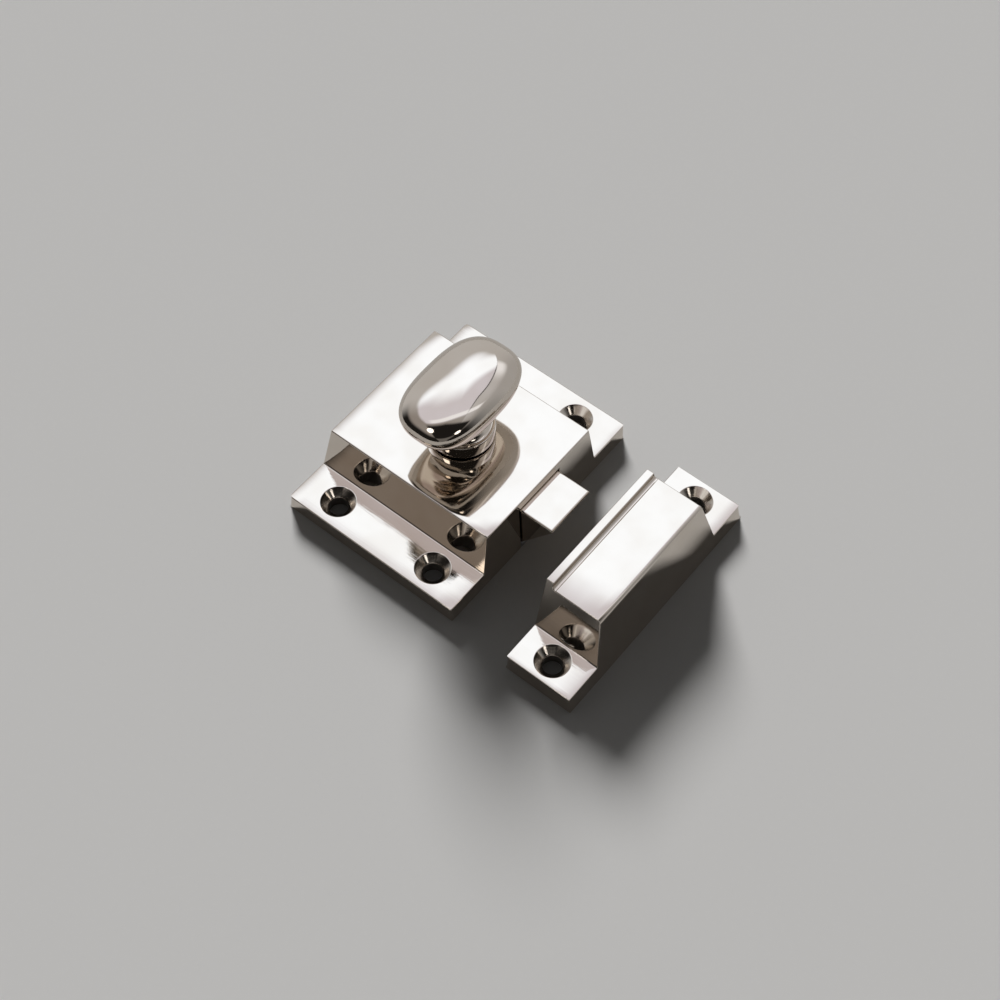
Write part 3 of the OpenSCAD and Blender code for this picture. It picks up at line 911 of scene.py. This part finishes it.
class CATCH_OT_drive(bpy.types.Operator):
    """Builds the spindle, thrust washer, crank and crank pin that turn with the knob"""

    bl_idname = "catch.drive"
    bl_label = "Spindle and Crank"

    def execute(self, context):
        sizes, finishes = context.scene.catch_sizes, context.scene.catch_finishes
        turned = turned_steel("turned_steel_spindle", Z, 0.3 * MM, finishes)
        brushed = brushed_steel("brushed_steel_crank", X, finishes)
        washer = rolled_brass("rolled_brass_washer", finishes)
        for name, node, material, slot in (
            ("turned_spindle", "spindle", turned, "steel"),
            ("turned_pin", "crank_pin", turned, "steel"),
            ("flat_crank", "crank", brushed, "steel"),
            ("brass_washer", "thrust_washer", washer, "brass"),
        ):
            softened_piece(
                name, node, material, "knob", slot, lambda point, run: sizes.plate_edge, HIDDEN_STEPS
            )
        return {"FINISHED"}


class CATCH_OT_bolt(bpy.types.Operator):
    """Builds the bevelled spring bolt"""

    bl_idname = "catch.bolt"
    bl_label = "Bolt"

    def execute(self, context):
        sizes, finishes = context.scene.catch_sizes, context.scene.catch_finishes
        nickel = nickel_plain("polished_nickel_bolt", finishes, X)
        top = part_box("bolt")[1].z

        def rounding(point, run):
            on_top = top - point.z < WELD
            return sizes.bolt_shoulder if on_top and abs(run.z) < WELD else sizes.bolt_edge

        softened_piece("spring_bolt", "bolt", nickel, "bolt", "polished_nickel", rounding, sizes.edge_steps)
        return {"FINISHED"}


class CATCH_OT_spring(bpy.types.Operator):
    """Builds the coil spring behind the bolt"""

    bl_idname = "catch.spring"
    bl_label = "Spring"

    def execute(self, context):
        sizes, finishes = context.scene.catch_sizes, context.scene.catch_finishes
        low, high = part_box("bolt_spring")
        mesh = ring_skin("coil_spring", coil(sizes, low, high), None, None)
        wire = turned_steel("drawn_steel_wire", X, 0.6 * MM, finishes)
        spring = new_piece("coil_spring", mesh, wire, "case", "steel", "bolt_spring")
        keep = 1 - BOLT_TRAVEL / (high.x - low.x)
        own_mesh(spring)
        return {"FINISHED"}


class CATCH_OT_strike(bpy.types.Operator):
    """Builds the hollow strike with its raised lip"""

    bl_idname = "catch.strike"
    bl_label = "Strike"

    def execute(self, context):
        sizes, finishes = context.scene.catch_sizes, context.scene.catch_finishes
        holes = hole_pattern("strike_screws")
        levels = (sizes.strike_flange_t, sizes.strike_top)
        nickel = nickel_with_holes(
            "polished_nickel_strike", "strike", holes, levels, STRIKE_ROLLS, sizes, finishes
        )
        low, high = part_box("strike")

        def rounding(point, run):
            if near_circle(point, holes, sizes.countersink_d / 2):
                return sizes.rim_edge
            if worn_corner(point, run, holes[0], sizes.strike_flange_t):
                return sizes.corner_edge
            outer = point.x > (low.x + high.x) / 2
            shoulder = outer and abs(run.y) > MOSTLY and abs(point.z - sizes.strike_top) < MM
            return sizes.strike_shoulder if shoulder else sizes.strike_edge

        softened_piece(
            "strike_shell", "strike", nickel, "case", "polished_nickel", rounding, sizes.edge_steps
        )
        return {"FINISHED"}


class CATCH_OT_stage(bpy.types.Operator):
    """Sets the camera, the pale floor and the soft studio light"""

    bl_idname = "catch.stage"
    bl_label = "Studio"

    def execute(self, context):
        studio = context.scene.catch_studio
        context.scene.view_settings.view_transform = "Standard"
        self.camera(context.scene, studio)
        self.floor(studio)
        self.key(studio)
        self.surroundings(context.scene, studio)
        return {"FINISHED"}

    def backwards(self, azimuth, elevation):
        """The direction from the part to something at that azimuth and elevation."""
        flat = math.cos(elevation)
        return Vector((math.sin(azimuth) * flat, -math.cos(azimuth) * flat, math.sin(elevation)))

    def shown(self, name, data):
        """A new object in the scene."""
        thing = bpy.data.objects.new(name, data)
        bpy.context.scene.collection.objects.link(thing)
        return thing

    def camera(self, scene, studio):
        """The camera at the photograph's angle."""
        data = bpy.data.cameras.new("camera")
        data.lens = studio.lens
        data.clip_start = 10 * MM
        back = self.backwards(studio.azimuth, studio.elevation)
        camera = self.shown("camera", data)
        camera.location = Vector(studio.aim) + back * studio.distance
        camera.rotation_euler = (-back).to_track_quat("-Z", "Y").to_euler()
        scene.camera = camera

    def floor(self, studio):
        """A wide pale floor with a faint fleck."""
        finish = started("pale_floor")
        flecks = finish.noise(finish.place(), FLECKS, detail=3.0)
        base = finish.mix(flecks * FLECK_SHARE, studio.floor, (1.0, 1.0, 1.0))
        values = {"Base Color": base, "Roughness": FLOOR_ROUGH}
        shader = finish.node("ShaderNodeBsdfPrincipled", values=values)
        finish.node("ShaderNodeOutputMaterial", values={"Surface": shader})
        half = studio.floor_side / 2
        corners = [(-half, -half, 0), (half, -half, 0), (half, half, 0), (-half, half, 0)]
        mesh = bpy.data.meshes.new("floor")
        mesh.from_pydata(corners, [], [(0, 1, 2, 3)])
        mesh.materials.append(bpy.data.materials["pale_floor"])
        self.shown("floor", mesh)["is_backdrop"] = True

    def key(self, studio):
        """A soft key light behind the part, so that its shadow falls towards the camera."""
        data = bpy.data.lights.new("key_light", "SUN")
        data.energy = studio.key_light
        data.angle = studio.key_angle
        key = self.shown("key_light", data)
        away = self.backwards(studio.azimuth + math.pi + studio.key_turn, studio.key_elevation)
        key.rotation_euler = away.to_track_quat("Z", "Y").to_euler()
        key.visible_glossy = False

    def room(self, finish, studio, direction, near, right, up):
        """A pale room with two softboxes, a dark near side and two small lamps, as the metal mirrors it."""
        across = right / up.over(HORIZON)
        away = near * -1.0 / up.over(HORIZON)

        walls = finish.mix(right.ramp(*RIGHT_WALL), studio.walls, studio.walls_right)
        near_walls = finish.mix(up.ramp(*NEAR_WALL_FOOT), studio.dark_side, studio.walls_near)
        walls = finish.mix((near - NEAR_WALL_SLANT * right).ramp(*NEAR_WALL), walls, near_walls)

        slanted = away + DARK_SLANT * across.over(0.0)
        dark_side = across.within(*DARK_ACROSS) * (1 - slanted.ramp(*DARK_AWAY))
        unlit = finish.mix(up.ramp(*DARK_FOOT), studio.low_side, studio.dark_side)
        room = finish.mix(dark_side, walls, unlit)

        side_box = across.within(*SIDE_ACROSS) * away.within(*SIDE_AWAY) * across.ramp(*SIDE_EDGE)
        side_light = finish.mix(away.ramp(*SIDE_FADE), studio.side_low, studio.side_box)
        room = finish.mix(side_box * (1 - dark_side), room, side_light)

        ends = (1 - across.ramp(*BOX_INNER_EDGE)) * (1 - (away - across).ramp(*BOX_FAR_END))
        softbox = across.ramp(*BOX_ACROSS) * away.ramp(*BOX_AWAY) * ends
        room = finish.mix(softbox, room, studio.softbox_near)
        bent = away - HOT_SLANT * (across - HOT_BEND).over(0.0)
        hot_end = across.ramp(*HOT_ACROSS) * bent.ramp(*HOT_AWAY) * ends
        room = finish.mix(hot_end, room, studio.softbox)

        near_rim = across.within(*RIM_ACROSS) * away.within(*RIM_AWAY)
        room = finish.mix(near_rim, room, studio.side_box)
        frame_bar = across.within(*BAR_ACROSS) * away.within(*BAR_AWAY) * BAR_SHADE
        room = finish.mix(frame_bar, room, studio.dark_side)
        for lamp in LAMPS:
            room = finish.mix(finish.dot(direction, lamp).ramp(*LAMP_EDGE), room, studio.lamp)
        return room

    def surroundings(self, scene, studio):
        """The world: a soft fill for the floor, the room in the metal, and a plain backdrop."""
        world = bpy.data.worlds.new("studio")
        world.use_nodes = True
        scene.world = world
        finish = Finish(world.node_tree)
        direction = finish.node("ShaderNodeTexCoord", output="Generated")
        near = finish.dot(direction, self.backwards(studio.azimuth, 0.0))
        right = finish.dot(direction, self.backwards(studio.azimuth + math.pi / 2, 0.0))
        up = finish.split(direction)[Z]
        room = self.room(finish, studio, direction, near, right, up)
        fill = finish.mix(near.ramp(*FILL_NEAR), studio.fill_far, studio.fill_near)
        fill = finish.mix(up.ramp(*FILL_OVERHEAD), fill, studio.fill_top)

        path = finish.node("ShaderNodeLightPath").socket.node.outputs
        camera, glossy, through, scattered = [
            Term(finish, path[ray])
            for ray in ("Is Camera Ray", "Is Glossy Ray", "Is Transmission Ray", "Diffuse Depth")
        ]
        mirrored = (glossy + through - scattered).over(0.0).under(1.0)
        backdrop = finish.mix(camera, finish.mix(mirrored, fill, room), studio.walls)
        light = finish.node("ShaderNodeBackground", values={"Color": backdrop, "Strength": 1.0})
        finish.node("ShaderNodeOutputWorld", values={"Surface": light})


class CATCH_PT_panel(bpy.types.Panel):
    """Lists the catch's values and the steps that build it"""

    bl_label = "Cabinet Catch"
    bl_idname = "CATCH_PT_panel"
    bl_space_type = "VIEW_3D"
    bl_region_type = "UI"
    bl_category = "Catch"

    def draw(self, context):
        for group in (context.scene.catch_sizes, context.scene.catch_finishes, context.scene.catch_studio):
            box = self.layout.box()
            for name in group.bl_rna.properties.keys():
                if name not in ("rna_type", "name"):
                    box.prop(group, name)
        for operator in OPERATORS:
            self.layout.operator(operator.bl_idname)


GROUPS = (CatchSizes, CatchFinishes, CatchStudio)
OPERATORS = (
    CATCH_OT_case,
    CATCH_OT_back_plate,
    CATCH_OT_knob,
    CATCH_OT_drive,
    CATCH_OT_bolt,
    CATCH_OT_spring,
    CATCH_OT_strike,
    CATCH_OT_stage,
)
CLASSES = (*GROUPS, *OPERATORS, CATCH_PT_panel)


def register():
    for made in CLASSES:
        bpy.utils.register_class(made)
    bpy.types.Scene.catch_sizes = PointerProperty(type=CatchSizes)
    bpy.types.Scene.catch_finishes = PointerProperty(type=CatchFinishes)
    bpy.types.Scene.catch_studio = PointerProperty(type=CatchStudio)


def unregister():
    del bpy.types.Scene.catch_studio
    del bpy.types.Scene.catch_finishes
    del bpy.types.Scene.catch_sizes
    for made in reversed(CLASSES):
        bpy.utils.unregister_class(made)


def main():
    """Builds every piece in order."""
    register()
    bpy.ops.catch.case()
    bpy.ops.catch.back_plate()
    bpy.ops.catch.knob()
    bpy.ops.catch.drive()
    bpy.ops.catch.bolt()
    bpy.ops.catch.spring()
    bpy.ops.catch.strike()
    bpy.ops.catch.stage()
    boxes = {"cad": CAD_BOX, "visual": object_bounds()}
    {name: [list(corner) for corner in box] for name, box in boxes.items()}


if __name__ == "__main__":
    main()
